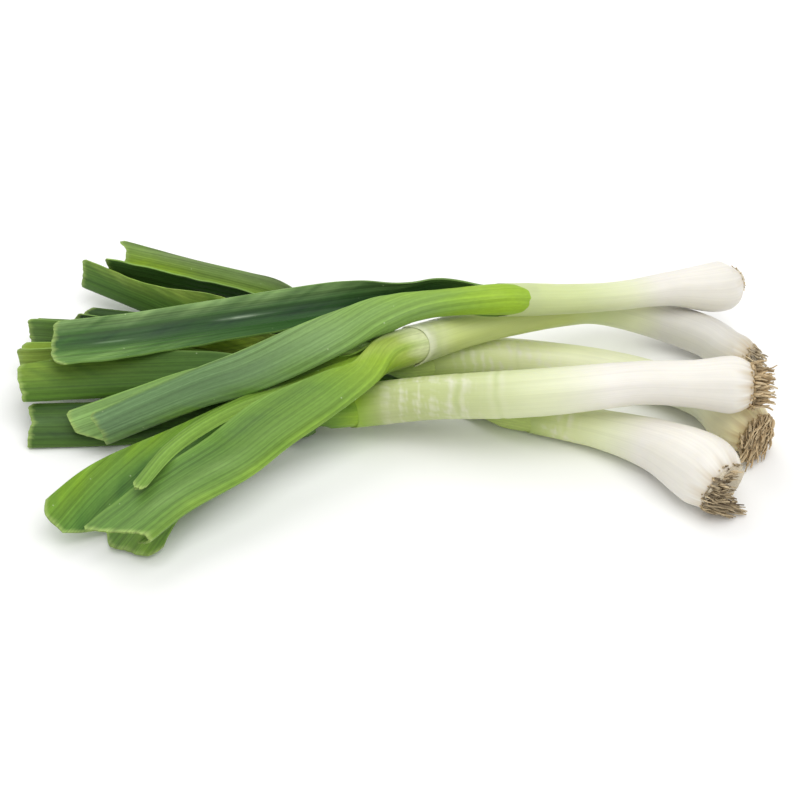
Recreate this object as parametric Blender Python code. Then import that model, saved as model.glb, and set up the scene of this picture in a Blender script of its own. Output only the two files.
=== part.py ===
"""A bunch of five trimmed leeks, lying in a loose pile.

Each leek is a white shaft that swells to a bulb, a tuft of short dry roots on the bulb's end,
and long leaves that clasp the neck of the shaft and open into folded blades.
The leeks lie along X with their roots at +X; +Y is the back of the pile and +Z is up.
Lengths in the tables are millimetres, angles are degrees.
"""

import math
import random

import bmesh
import bpy
import numpy as np

MM = 0.001
UP = np.array([0.0, 0.0, 1.0])

# The middle of the pile's footprint, which becomes the origin.
FOOTPRINT_CENTRE = (-3.1, 14.3, 0.0)

# Shafts
SHAFT_SIDES = 16
SHAFT_RING_GAP = 14.0
BULB_END_RINGS = 5
BULB_END_REACH = 0.8
CORE_LENGTH = 21.0
CORE_RINGS = 3
CORE_TIP_SHARE = 0.55

# Leaves
MARGIN_THICKNESS = 1.1
KEEL_THICKNESS = 1.8
LEAF_GAP = 0.45
CLASP = "clasp"
TIP = "tip"
CLASP_LENGTH = 22.0
TIP_BASE_LENGTH = 6.0
CLASP_HALF_ANGLE = 78.0
BASE_MIDDLE_SHARE = 0.55
ACROSS = (-1.0, -0.66, -0.33, -0.1, 0.1, 0.33, 0.66, 1.0)
LEAF_RING_GAP = 22.0
KEEL_SHARPNESS = 0.14
TRIM_PLACES = (-1.0, -0.5, -0.1, 0.1, 0.5, 1.0)

# Roots
ROOTS_PER_TUFT = 22
ROOT_SIDES = 4
ROOT_RINGS = 4
ROOT_RADIUS = 1.2
ROOT_TIP_RADIUS = 0.7
ROOT_AREA = 0.86
ROOT_TURN = 2.4
ROOT_TURN_WOBBLE = 0.2
ROOT_GROWTH = (0.7, 1.0)
ROOT_SPLAY = (0.5, 1.5)
ROOT_DRIFT = 0.12
ROOT_DEPTH = 0.3
PLATE_SIDES = 14
PLATE_THICKNESS = 2.6
PLATE_GAP = 0.4
# Depth into the tuft and share of the plate's radius, from its back to its face.
PLATE_PROFILE = ((0.0, 1.0), (0.6, 0.95), (1.0, 0.7))

# Shading and colours
SHARP_ANGLE = math.radians(42)
SHAFT_COLOUR = (0.80, 0.83, 0.62)
ROOT_COLOUR = (0.34, 0.25, 0.14)
BLOOM_GREEN = (0.11, 0.20, 0.10)
MID_GREEN = (0.10, 0.20, 0.04)
DARK_GREEN = (0.04, 0.11, 0.03)
LIME_GREEN = (0.20, 0.33, 0.06)

# How wide the root plate is, as a share of the shaft's radius at its end.
PLATE_SHARES = {"leek_a": 0.56, "leek_b": 0.6, "leek_c": 0.76, "leek_d": 0.74, "leek_e": 0.78}

# Each row of a shaft's route is x, y, z and the shaft's radius there, from the root plate to the neck.
SHAFTS = {
    "leek_a": [
        (212, 103, 37, 14), (198, 96, 37, 16), (168, 85, 44, 11), (136, 70, 50, 9),
        (104, 57, 57, 9), (75, 47, 64, 10),
    ],
    "leek_b": [
        (217, 54, 12, 13), (205, 63, 12, 13), (190, 75, 15, 13), (160, 87, 19, 12),
        (125, 83, 31, 11), (99, 72, 38, 11), (66, 56, 43, 11), (40, 44, 44, 11), (14, 31, 44, 12),
    ],
    "leek_c": [
        (203, -17, 50, 16), (190, -16, 50, 17), (168, -14, 49, 14), (138, -11, 47, 13),
        (95, -13, 43, 14), (60, -12, 39, 14), (20, -6, 32, 13), (-22, -1, 22, 13),
    ],
    "leek_d": [
        (209, -20, 16, 17), (198, -6, 16, 17), (182, 15, 15, 13), (150, 35, 13, 12),
        (110, 48, 13, 12), (60, 50, 18, 12), (40, 48, 20, 12), (20, 45, 21, 12),
    ],
    "leek_e": [
        (183, -69, 18, 20), (171, -54, 20, 21), (150, -32, 17, 16), (120, -13, 13, 12),
        (82, 2, 11, 11),
    ],
}


class Spline:
    """A smooth curve through rows of numbers, the first three of which are x, y and z."""

    STEPS = 24

    def __init__(self, rows):
        rows = np.array(rows, float)
        before = 2 * rows[0] - rows[1]
        after = 2 * rows[-1] - rows[-2]
        padded = np.vstack([before, rows, after])
        samples = []
        for i in range(len(rows) - 1):
            p0, p1, p2, p3 = padded[i : i + 4]
            for step in range(self.STEPS):
                samples.append(catmull_rom(p0, p1, p2, p3, step / self.STEPS))
        samples.append(rows[-1])
        self.samples = np.array(samples)
        steps = np.linalg.norm(np.diff(self.samples[:, :3], axis=0), axis=1)
        self.along = np.concatenate([[0.0], np.cumsum(steps)])
        self.length = self.along[-1]

    def at(self, distance):
        """The row at this distance along the curve."""
        columns = self.samples.T
        return np.array([np.interp(distance, self.along, column) for column in columns])

    def tangent(self, distance):
        reach = 2.0
        ahead = self.at(min(distance + reach, self.length))[:3]
        behind = self.at(max(distance - reach, 0.0))[:3]
        return unit(ahead - behind)


def catmull_rom(p0, p1, p2, p3, t):
    return 0.5 * (
        2 * p1
        + (p2 - p0) * t
        + (2 * p0 - 5 * p1 + 4 * p2 - p3) * t**2
        + (3 * p1 - p0 - 3 * p2 + p3) * t**3
    )


def unit(vector):
    return vector / np.linalg.norm(vector)


def upright_frame(tangent):
    """The directions up and sideways across a line that runs along tangent."""
    up = unit(UP - tangent * (UP @ tangent))
    return up, np.cross(tangent, up)


def opening_direction(tangent, roll):
    """The way a leaf's channel opens: up at roll 0, to the back at 90, down at 180."""
    up, side = upright_frame(tangent)
    angle = math.radians(roll)
    return up * math.cos(angle) + side * math.sin(angle)


def add_mesh(name, points, faces, material):
    """An object from points in millimetres; nothing may lie under the table."""
    shown = [(p[0] - FOOTPRINT_CENTRE[0], p[1] - FOOTPRINT_CENTRE[1], max(p[2], 0.0)) for p in points]
    mesh = bpy.data.meshes.new(name)
    mesh.from_pydata([tuple(c * MM for c in p) for p in shown], [], faces)
    tidy = bmesh.new()
    tidy.from_mesh(mesh)
    bmesh.ops.recalc_face_normals(tidy, faces=tidy.faces)
    bmesh.ops.triangulate(tidy, faces=tidy.faces)
    tidy.to_mesh(mesh)
    tidy.free()
    mesh.materials.append(material)
    thing = bpy.data.objects.new(name, mesh)
    bpy.context.scene.collection.objects.link(thing)
    return thing


def make_material(name, colour, roughness):
    material = bpy.data.materials.new(name)
    material.use_nodes = True
    shader = material.node_tree.nodes["Principled BSDF"]
    shader.inputs["Base Color"].default_value = (*colour, 1.0)
    shader.inputs["Roughness"].default_value = roughness
    shader.inputs["Metallic"].default_value = 0.0
    material.diffuse_color = (*colour, 1.0)
    return material


def tube_faces(ring_count, sides):
    """Faces of a tube of rings, with a face over each end."""
    faces = []
    for ring in range(ring_count - 1):
        for side in range(sides):
            a = ring * sides + side
            b = ring * sides + (side + 1) % sides
            faces.append((a, b, b + sides, a + sides))
    faces.append(tuple(range(sides))[::-1])
    faces.append(tuple(range((ring_count - 1) * sides, ring_count * sides)))
    return faces


def ring_points(centre, tangent, radius, sides):
    up, side = upright_frame(tangent)
    turns = [2 * math.pi * (k + 0.5) / sides for k in range(sides)]
    return [centre + radius * (up * math.cos(a) + side * math.sin(a)) for a in turns]


def core_radius(neck_radius):
    return neck_radius - KEEL_THICKNESS - LEAF_GAP


def shaft_stations(spline, plate_share):
    """Distance and radius factor of each ring: a rounded bulb end, then the stem up to the neck."""
    bulb_radius = spline.at(0.0)[3]
    reach = bulb_radius * BULB_END_REACH
    first = math.acos(plate_share)
    stations = []
    for k in range(BULB_END_RINGS):
        angle = first * (1 - k / BULB_END_RINGS)
        share = 1 - math.sin(angle) / math.sin(first)
        stations.append((reach * share, math.cos(angle)))
    count = max(4, round((spline.length - reach) / SHAFT_RING_GAP))
    for k in range(count + 1):
        stations.append((reach + (spline.length - reach) * k / count, 1.0))
    return stations


def add_shaft(name, route, material):
    """The bulb and shaft, with a thinner core past the neck that the leaves clasp."""
    spline = Spline(route)
    points = []
    stations = shaft_stations(spline, PLATE_SHARES[name])
    for distance, factor in stations:
        row = spline.at(distance)
        points += ring_points(row[:3], spline.tangent(distance), row[3] * factor, SHAFT_SIDES)
    rings = len(stations)
    neck = spline.at(spline.length)
    direction = spline.tangent(spline.length)
    for k in range(CORE_RINGS + 1):
        share = k / CORE_RINGS
        radius = core_radius(neck[3]) * (1 - (1 - CORE_TIP_SHARE) * share**2)
        centre = neck[:3] + direction * CORE_LENGTH * share
        points += ring_points(centre, direction, radius, SHAFT_SIDES)
        rings += 1
    return add_mesh(f"{name}_shaft", points, tube_faces(rings, SHAFT_SIDES), material)


def base_rows(leek, base, roll):
    """The first rows of a leaf, curved round the core or rolled up in line with its tip."""
    spline = Spline(SHAFTS[leek])
    neck = spline.at(spline.length)
    direction = spline.tangent(spline.length)
    opening = opening_direction(direction, roll)
    middle = neck[3] - KEEL_THICKNESS / 2
    reach = (LEAF_GAP, CLASP_LENGTH * BASE_MIDDLE_SHARE, CLASP_LENGTH)
    if base == TIP:
        middle = core_radius(neck[3]) * CORE_TIP_SHARE - KEEL_THICKNESS / 2
        middle_reach = CORE_LENGTH + TIP_BASE_LENGTH * BASE_MIDDLE_SHARE
        reach = (CORE_LENGTH + LEAF_GAP, middle_reach, CORE_LENGTH + TIP_BASE_LENGTH)
    half_width = middle * math.radians(CLASP_HALF_ANGLE)
    rows = []
    for distance in reach:
        point = neck[:3] + direction * distance - opening * middle
        rows.append((*point, roll, half_width, half_width, 0.0, CLASP_HALF_ANGLE))
    return rows


def section_offset(half_width, fold, curl, across):
    """How far a place across the leaf is sideways and upwards of the keel, and its slope.
    The leaf bends without stretching, sharply at the keel and evenly over each side."""
    steps = max(2, math.ceil(abs(across) * 24))
    x = y = 0.0
    for k in range(steps):
        here = across * (k + 0.5) / steps
        bend = math.radians(fold) * math.tanh(here / KEEL_SHARPNESS) + math.radians(curl) * here
        x += math.cos(bend) * half_width * across / steps
        y += math.sin(bend) * half_width * across / steps
    bend = math.radians(fold) * math.tanh(across / KEEL_SHARPNESS) + math.radians(curl) * across
    return x, y, bend


def leaf_point(spline, distance, across, side_sign):
    """A point of the leaf's inner (+1) or outer (-1) face."""
    x, y, z, roll, first_half, second_half, fold, curl = spline.at(distance)
    tangent = spline.tangent(distance)
    opening = opening_direction(tangent, roll)
    sideways = np.cross(tangent, opening)
    half_width = second_half if across > 0 else first_half
    shift, lift, bend = section_offset(half_width, fold, curl, across)
    thickness = MARGIN_THICKNESS + (KEEL_THICKNESS - MARGIN_THICKNESS) * (1 - abs(across)) ** 2
    shift -= side_sign * math.sin(bend) * thickness / 2
    lift += side_sign * math.cos(bend) * thickness / 2
    return np.array((x, y, z)) + sideways * shift + opening * lift


def add_leaf(name, rows, set_back, trims, material):
    """A leaf blade from its base to its cut end, with its two faces split alike."""
    spline = Spline(rows)
    count = max(6, round(spline.length / LEAF_RING_GAP))
    points = []
    for k in range(count + 1):
        for sign in (1, -1):
            for across in ACROSS:
                start = set_back * across * across
                trim = np.interp(across, TRIM_PLACES, trims)
                distance = start + (spline.length - trim - start) * k / count
                points.append(leaf_point(spline, distance, across, sign))
    width = len(ACROSS)
    ring = 2 * width
    faces = []
    for k in range(count):
        for face_start in (0, width):
            for i in range(width - 1):
                a = k * ring + face_start + i
                faces.append((a, a + 1, a + 1 + ring))
                faces.append((a, a + 1 + ring, a + ring))
        for margin in (0, width - 1):
            a = k * ring + margin
            faces.append((a, a + width, a + width + ring, a + ring))
    for k in (0, count):
        for i in range(width - 1):
            a = k * ring + i
            faces.append((a, a + 1, a + 1 + width, a + width))
    return add_mesh(name, points, faces, material)


def add_tuft(name, route, plate_share, length, spread, lean, sweep, seed, material):
    """The root plate and the short dry roots that grow out of it, fused into one piece."""
    dice = random.Random(seed)
    spline = Spline(route)
    plate_radius = spline.at(0.0)[3] * plate_share
    outward = -spline.tangent(0.0)
    up, side = upright_frame(outward)
    face = spline.at(0.0)[:3] + outward * PLATE_GAP
    points = []
    for depth, share in PLATE_PROFILE:
        centre = face + outward * PLATE_THICKNESS * depth
        points += ring_points(centre, outward, plate_radius * share, PLATE_SIDES)
    tuft = add_mesh(name, points, tube_faces(len(PLATE_PROFILE), PLATE_SIDES), material)
    roots = bpy.data.collections.new(f"{name}_parts")
    bpy.context.scene.collection.children.link(roots)
    for k in range(ROOTS_PER_TUFT):
        share = math.sqrt((k + 0.5) / ROOTS_PER_TUFT)
        turn = k * ROOT_TURN + dice.uniform(-ROOT_TURN_WOBBLE, ROOT_TURN_WOBBLE)
        radial = up * math.cos(turn) + side * math.sin(turn)
        start = face + outward * PLATE_THICKNESS * ROOT_DEPTH + radial * plate_radius * ROOT_AREA * share
        growth = dice.uniform(*ROOT_GROWTH) * (1 - lean * share * math.cos(turn))
        reach = length * growth
        splay = spread * share * dice.uniform(*ROOT_SPLAY)
        drift = np.array([dice.uniform(-ROOT_DRIFT, ROOT_DRIFT) for axis in range(3)]) * length
        heading = outward * reach + radial * reach * splay
        bend = np.array(sweep, float) * growth + drift
        points = []
        for ring in range(ROOT_RINGS):
            t = ring / (ROOT_RINGS - 1)
            radius = ROOT_RADIUS + (ROOT_TIP_RADIUS - ROOT_RADIUS) * t
            centre = start + heading * t + bend * t * t
            centre[2] = max(centre[2], ROOT_RADIUS)
            points += ring_points(centre, unit(heading + 2 * bend * t), radius, ROOT_SIDES)
        root = add_mesh(f"{name}_{k}", points, tube_faces(ROOT_RINGS, ROOT_SIDES), material)
        bpy.context.scene.collection.objects.unlink(root)
        roots.objects.link(root)
    union = tuft.modifiers.new("union", "BOOLEAN")
    union.operation = "UNION"
    union.operand_type = "COLLECTION"
    union.collection = roots
    union.solver = "EXACT"
    bpy.context.view_layer.objects.active = tuft
    bpy.ops.object.modifier_apply(modifier=union.name)
    for root in list(roots.objects):
        bpy.data.objects.remove(root)
    bpy.data.collections.remove(roots)
    return tuft


# Each tuft: the roots' length, how far they spread, how much longer the low ones are,
# which way their tips sweep, and the seed.
TUFTS = {
    "leek_a": (2, 0.2, 0, (0, 0, -1), 3),
    "leek_b": (8, 0.2, 0, (0, -1, -2), 5),
    "leek_c": (12, 0.2, 0, (1, 0, 0), 7),
    "leek_d": (11, 0.3, 0.2, (-8, -2, -5), 11),
    "leek_e": (4, 0.2, 0.4, (2, 0, -2), 13),
}

# Each leaf: the leek that it grows on, whether it clasps the core or comes out of its tip,
# the way its base opens, how far its edges are set back at its base, and the trims along
# its cut end (first margin, halfway and beside the keel, then the second side the same way out),
# and its green.
# A route's row is x, y and z of the keel, roll, first and second half width, fold and curl.
LEAVES = {
    "leek_a_leaf_1": ("leek_a", CLASP, 130, 12, (16, 17, 17, 16, 1, 0), BLOOM_GREEN, [
        (19, 33, 69, 126, 13, 8, 10, 60),
        (-8, 23, 64, 112, 20, 12, 30, 34),
        (-30, 15, 53, 88, 24, 21, 50, 14),
        (-59, 4, 43, 62, 27, 24, 58, 8),
        (-88, -5, 35, 46, 28, 25, 62, 4),
        (-118, -10, 28, 34, 27, 26, 64, 4),
        (-172, -22, 11, 26, 27, 27, 64, 4),
        (-189, -27, 7, 26, 27, 27, 64, 4),
    ]),
    "leek_a_leaf_2": ("leek_a", CLASP, -50, 12, (4, 0, 0, 0, 2, 4), DARK_GREEN, [
        (26, 54, 63, -50, 13, 13, 20, 56),
        (0, 55, 56, -45, 15, 15, 36, 24),
        (-42, 53, 49, -16, 17, 19, 35, 6),
        (-121, 44, 42, -17, 16, 18, 26, 4),
        (-163, 32, 43, -18, 16, 18, 24, 4),
        (-208, 21, 45, -18, 16, 18, 24, 4),
    ]),
    "leek_b_leaf_1": ("leek_b", CLASP, 130, 8, (12, 22, 32, 32, 32, 32), MID_GREEN, [
        (-14, -8, 47, 110, 20, 10, 50, 30),
        (-36, -31, 43, 78, 26, 14, 72, 6),
        (-63, -51, 35, 84, 32, 16, 66, 2),
        (-85, -73, 31, 94, 33, 18, 66, 2),
        (-116, -96, 28, 106, 33, 18, 70, 2),
        (-136, -117, 25, 108, 33, 18, 70, 2),
        (-158, -143, 23, 108, 33, 18, 70, 2),
    ]),
    "leek_b_leaf_2": ("leek_b", CLASP, -50, 8, (12, 12, 11, 20, 1, 0), LIME_GREEN, [
        (-28, 17, 36, -44, 12, 10, 25, 36),
        (-50, 11, 31, -20, 15, 13, 28, 14),
        (-89, -8, 20, -15, 20, 13, 20, 22),
        (-120, -34, 10, -14, 23, 22, 10, 28),
        (-152, -72, 4, -14, 30, 36, 4, 30),
        (-171, -109, 3, -14, 38, 42, 4, 30),
    ]),
    "leek_b_leaf_3": ("leek_b", TIP, 130, 3, (2, 1, 0, 0, 1, 2), LIME_GREEN, [
        (-42, 6, 40, 150, 6, 6, 20, 20),
        (-65, 0, 35, 165, 6, 6, 20, 15),
        (-99, -22, 36, 172, 6, 6, 10, 15),
        (-128, -57, 39, 175, 5, 5, 10, 15),
        (-146, -92, 38, 175, 4, 4, 10, 15),
    ]),
    "leek_c_leaf_1": ("leek_c", CLASP, 110, 8, (0, 2, 0, 0, 0, 3), DARK_GREEN, [
        (-56, -14, 13, 100, 11, 15, 36, 36),
        (-68, -12, 5, 92, 13, 18, 74, 6),
        (-89, -10, 4, 78, 25, 25, 78, 2),
        (-119, -10, 4, 74, 27, 27, 79, 2),
        (-174, -13, 2, 72, 27, 27, 79, 2),
        (-222, -15, 2, 72, 27, 27, 79, 2),
    ]),
    "leek_c_leaf_2": ("leek_c", TIP, 90, 3, (0, 1, 3, 3, 0, 0), MID_GREEN, [
        (-70, 9, 19, 75, 12, 10, 60, 6),
        (-90, 9, 22, 64, 22, 20, 76, 2),
        (-119, 8, 24, 62, 26, 26, 77, 2),
        (-179, 7, 22, 64, 27, 27, 77, 2),
        (-228, 3, 22, 64, 22, 27, 77, 2),
    ]),
    "leek_c_leaf_3": ("leek_c", CLASP, -70, 8, (4, 5, 4, 4, 4, 4), LIME_GREEN, [
        (-64, 22, 6, -30, 13, 13, 56, 6),
        (-84, 38, 5, 20, 21, 13, 58, 4),
        (-119, 46, 5, 8, 29, 17, 68, 2),
        (-180, 49, 5, 8, 29, 20, 70, 2),
        (-238, 48, 5, 8, 30, 21, 70, 2),
    ]),
    "leek_d_leaf_1": ("leek_d", CLASP, 90, 8, (0, 0, 0, 0, 0, 0), MID_GREEN, [
        (-28, 47, 15, 80, 14, 7, 60, 6),
        (-50, 52, 11, 75, 14, 10, 68, 4),
        (-80, 58, 8, 50, 18, 13, 68, 4),
        (-120, 62, 5, 12, 23, 16, 70, 4),
        (-180, 74, 5, 12, 25, 17, 70, 4),
        (-232, 79, 5, 14, 25, 17, 68, 4),
    ]),
    "leek_d_leaf_2": ("leek_d", CLASP, -90, 8, (4, 0, 6, 6, 2, 8), DARK_GREEN, [
        (-28, 70, 18, -50, 7, 10, 55, 6),
        (-50, 73, 14, -5, 12, 12, 65, 4),
        (-80, 78, 12, 0, 12, 12, 65, 4),
        (-120, 80, 7, 0, 14, 14, 68, 4),
        (-165, 89, 5, 10, 14, 14, 66, 4),
        (-208, 97, 5, 18, 14, 14, 66, 4),
    ]),
    "leek_e_leaf_1": ("leek_e", CLASP, -90, 8, (8, 10, 14, 14, 16, 15), DARK_GREEN, [
        (42, 38, 6, -84, 11, 8, 72, 8),
        (26, 52, 4, -88, 13, 13, 82, 2),
        (-20, 79, 4, -86, 14, 14, 82, 2),
        (-50, 97, 5, -30, 15, 15, 70, 2),
        (-80, 105, 9, 0, 18, 22, 66, 2),
        (-103, 111, 12, 12, 19, 22, 65, 0),
        (-139, 121, 15, 12, 20, 22, 65, -4),
        (-178, 130, 19, 12, 21, 24, 65, -6),
        (-197, 135, 21, 12, 22, 24, 65, -6),
    ]),
    "leek_e_leaf_2": ("leek_e", CLASP, 90, 8, (0, 3, 2, 2, 4, 6), MID_GREEN, [
        (42, 12, 5, 86, 10, 8, 74, 8),
        (26, 23, 4, 88, 13, 12, 82, 2),
        (-20, 48, 4, 88, 14, 12, 82, 2),
        (-63, 69, 4, 80, 19, 15, 78, 2),
        (-90, 79, 4, 60, 22, 18, 70, 2),
        (-127, 90, 4, 42, 31, 18, 64, 4),
        (-164, 108, 9, 38, 22, 18, 62, 4),
        (-208, 129, 15, 38, 21, 17, 62, 4),
    ]),
}


def build():
    for thing in list(bpy.data.objects):
        bpy.data.objects.remove(thing)
    for leek, route in SHAFTS.items():
        add_shaft(leek, route, make_material(f"{leek}_shaft", SHAFT_COLOUR, 0.35))
        length, spread, lean, sweep, seed = TUFTS[leek]
        root_material = make_material(f"{leek}_roots", ROOT_COLOUR, 0.85)
        plate_share = PLATE_SHARES[leek]
        add_tuft(f"{leek}_roots", route, plate_share, length, spread, lean, sweep, seed, root_material)
    for name, (leek, base, roll, set_back, trims, green, rows) in LEAVES.items():
        leaf_material = make_material(name, green, 0.42)
        add_leaf(name, base_rows(leek, base, roll) + rows, set_back, trims, leaf_material)
    for thing in bpy.data.objects:
        thing.data.shade_smooth()
        thing.data.set_sharp_from_angle(angle=SHARP_ANGLE)


build()
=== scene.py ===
"""A bunch of five trimmed leeks, lying in a loose pile on a pale table.

The tables give sizes and places in millimetres and turns in degrees; the meshes are in metres.
The leeks lie along X with their roots at +X, +Y is the back of the pile and +Z is up.
"""

import math
import random

import bmesh
import bpy
import numpy as np
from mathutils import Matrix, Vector


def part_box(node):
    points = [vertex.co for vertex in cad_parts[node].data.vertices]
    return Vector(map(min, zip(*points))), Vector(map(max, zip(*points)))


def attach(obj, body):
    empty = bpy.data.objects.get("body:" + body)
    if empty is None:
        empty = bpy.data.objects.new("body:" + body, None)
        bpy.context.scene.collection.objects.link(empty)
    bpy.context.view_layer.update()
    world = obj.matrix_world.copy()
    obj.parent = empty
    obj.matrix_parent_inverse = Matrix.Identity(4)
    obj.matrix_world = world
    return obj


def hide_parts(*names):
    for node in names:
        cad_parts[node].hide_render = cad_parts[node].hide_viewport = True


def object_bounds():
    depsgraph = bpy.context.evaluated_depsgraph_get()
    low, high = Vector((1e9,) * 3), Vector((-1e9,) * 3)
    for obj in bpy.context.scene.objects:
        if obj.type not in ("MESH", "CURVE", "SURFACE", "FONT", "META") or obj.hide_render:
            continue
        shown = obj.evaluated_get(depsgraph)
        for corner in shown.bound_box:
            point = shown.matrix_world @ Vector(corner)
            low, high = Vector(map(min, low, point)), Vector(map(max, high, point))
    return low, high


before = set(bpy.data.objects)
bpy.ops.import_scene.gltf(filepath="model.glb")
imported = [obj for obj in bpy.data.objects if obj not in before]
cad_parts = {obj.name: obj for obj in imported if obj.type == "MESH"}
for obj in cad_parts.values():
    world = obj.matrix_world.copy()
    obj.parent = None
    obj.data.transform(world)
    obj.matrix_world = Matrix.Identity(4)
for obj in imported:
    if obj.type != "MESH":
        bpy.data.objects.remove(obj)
cad_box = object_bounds()

# The table under the leeks, seen from above its front edge.
# A matt near-white board, lit by a wide soft window light and a paler one from the other side.

MM = 0.001
CENTRE = np.array([-3.1, 14.3, 0.0])
TABLE_SIZE = 3.0
TABLE_SINK = 0.0004
TABLE_WHITE = (0.93, 0.93, 0.92, 1.0)
TABLE_ROUGHNESS = 0.9


def set_out(name, data):
    """A new object in the scene."""
    thing = bpy.data.objects.new(name, data)
    bpy.context.scene.collection.objects.link(thing)
    return thing


def point(thing, place, ahead):
    """Puts a camera or light at place and turns it to look ahead."""
    thing.location = place
    thing.rotation_mode = "QUATERNION"
    thing.rotation_quaternion = ahead.to_track_quat("-Z", "Y")


half_table = TABLE_SIZE / 2
signs = ((-1, -1), (1, -1), (1, 1), (-1, 1))
table_corners = [(x * half_table, y * half_table, -TABLE_SINK) for x, y in signs]
table_mesh = bpy.data.meshes.new("table")
table_mesh.from_pydata(table_corners, [], [(0, 1, 2, 3)])
table_top = set_out("table", table_mesh)
table_paint = bpy.data.materials.new("table paint")
table_paint.use_nodes = True
table_shader = table_paint.node_tree.nodes["Principled BSDF"]
table_shader.inputs["Base Color"].default_value = TABLE_WHITE
table_shader.inputs["Roughness"].default_value = TABLE_ROUGHNESS
table_mesh.materials.append(table_paint)

CAMERA_TILT = math.radians(40)
CAMERA_REACH = 1.12
CAMERA_LENS = 85.0
CAMERA_SENSOR = 36.0
AIM_HEIGHT = 0.025

aim = Vector((-CENTRE[0] * MM, -CENTRE[1] * MM, AIM_HEIGHT))
away = Vector((0.0, -math.cos(CAMERA_TILT), math.sin(CAMERA_TILT)))
camera_data = bpy.data.cameras.new("camera")
camera_data.lens = CAMERA_LENS
camera_data.sensor_width = CAMERA_SENSOR
camera = set_out("camera", camera_data)
point(camera, aim + away * CAMERA_REACH, -away)
bpy.context.scene.camera = camera

ROOM_WHITE = (1.0, 1.0, 1.0, 1.0)
ROOM_GLOW = 0.7


def hang_light(name, place, size, watts):
    """A square soft light at place, turned to the leeks."""
    data = bpy.data.lights.new(name, "AREA")
    data.shape = "SQUARE"
    data.size = size
    data.energy = watts
    point(set_out(name, data), place, Vector((0, 0, 0)) - Vector(place))


hang_light("window", place=(0.35, -0.45, 1.5), size=1.3, watts=13)
hang_light("sky", place=(-0.5, 0.9, 1.3), size=1.2, watts=7)
room = bpy.data.worlds.new("room")
room.use_nodes = True
walls = room.node_tree.nodes["Background"]
walls.inputs["Color"].default_value = ROOM_WHITE
walls.inputs["Strength"].default_value = ROOM_GLOW
bpy.context.scene.world = room
bpy.context.scene.view_settings.view_transform = "Standard"

# The five bulbs with their white shafts: stacks of leaf sheaths rolled round each other.
# Each swells to a bulb at its root end, is smooth and a little waxy, and turns from white to
# yellow-green towards the neck, where a thin mouth of the outer sheath lets the leaves out.

WHITE = (0.8, 0.77, 0.7)
CREAM = (0.72, 0.75, 0.5)
YELLOW_GREEN = (0.42, 0.52, 0.15)
LIME = (0.3, 0.47, 0.035)
TAN = (0.5, 0.36, 0.17)
GREYED = (0.6, 0.55, 0.45)
SILVER = (0.66, 0.64, 0.59)
FADED_GREEN = (0.6, 0.68, 0.24)
COLLAR = (0.8, 0.8, 0.6)
CREASE_GREEN = (0.42, 0.5, 0.2)

# Each row of a shaft's route is x, y, z and the shaft's radius there, from the root plate to the neck.
SHAFTS = {
    "leek_a": [
        (212, 103, 37, 14), (198, 96, 37, 16), (168, 85, 44, 11), (136, 70, 50, 9),
        (104, 57, 57, 9), (75, 47, 64, 10),
    ],
    "leek_b": [
        (217, 54, 12, 13), (205, 63, 12, 13), (190, 75, 15, 13), (160, 87, 19, 12),
        (125, 83, 31, 11), (99, 72, 38, 11), (66, 56, 43, 11), (40, 44, 44, 11), (14, 31, 44, 12),
    ],
    "leek_c": [
        (203, -17, 50, 16), (190, -16, 50, 17), (168, -14, 49, 14), (138, -11, 47, 13),
        (95, -13, 43, 14), (60, -12, 39, 14), (20, -6, 32, 13), (-22, -1, 22, 13),
    ],
    "leek_d": [
        (209, -20, 16, 17), (198, -6, 16, 17), (182, 15, 15, 13), (150, 35, 13, 12),
        (110, 48, 13, 12), (60, 50, 18, 12), (40, 48, 20, 12), (20, 45, 21, 12),
    ],
    "leek_e": [
        (183, -69, 18, 20), (171, -54, 20, 21), (150, -32, 17, 16), (120, -13, 13, 12),
        (82, 2, 11, 11),
    ],
}

# The root plate's radius and the length of the bulb's rounded end, as shares of the radius there.
PLATE_SHARES = {"leek_a": 0.56, "leek_b": 0.6, "leek_c": 0.76, "leek_d": 0.74, "leek_e": 0.78}
BULB_END_REACH = 0.8
BULB_END_RINGS = 16
SHAFT_SIDES = 96
SHAFT_STEP = 1.2
SKIN_LUMP = 0.22
SKIN_WAVE = 0.1
STREAK_HEIGHT = 0.02
GRAIN_RADIUS = 13.0

# The mouth's lip, the core inside it that the leaves clasp and the rings before a pale rim:
# how far before the edge each is, and its shares of the rim's height and paleness.
LIP_THICKNESS = 0.3
LIP_ROUNDING = 0.35
LIP_DEPTH = 9.0
RIM_RINGS = ((4.5, 0.35, 0.0), (3.2, 0.6, 0.35), (1.8, 0.85, 0.8), (0.8, 1.0, 1.0))
RIM_PALENESS = 0.7
CORE_LENGTH = 21.0
CORE_TIP_SHARE = 0.55
CORE_RINGS = 8
CORE_ROUNDING = 0.8
KEEL_THICKNESS = 1.8
LEAF_GAP = 0.45
CLASP_ANGLE = 78.0

# A crease in the skin, with a soft bulge on each side of it, and the tan wisps beside the roots:
# how far up the bulb they all reach, how much further the longest do, and how close they lie.
CREASE_HALF_WIDTH = 1.3
CREASE_STRAY = 1.7
BULGE_PLACE = 2.6
BULGE_SHARE = 0.5
WISP_REACH = 4
WISP_EXTRA = 10
WISP_PACE = 13

# The shaders' fine relief, and the middle of a noise's range, where most of its values lie.
RELIEF_DEPTH = 0.0004
NOISE_MIDDLE = (0.3, 0.7)


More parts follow.
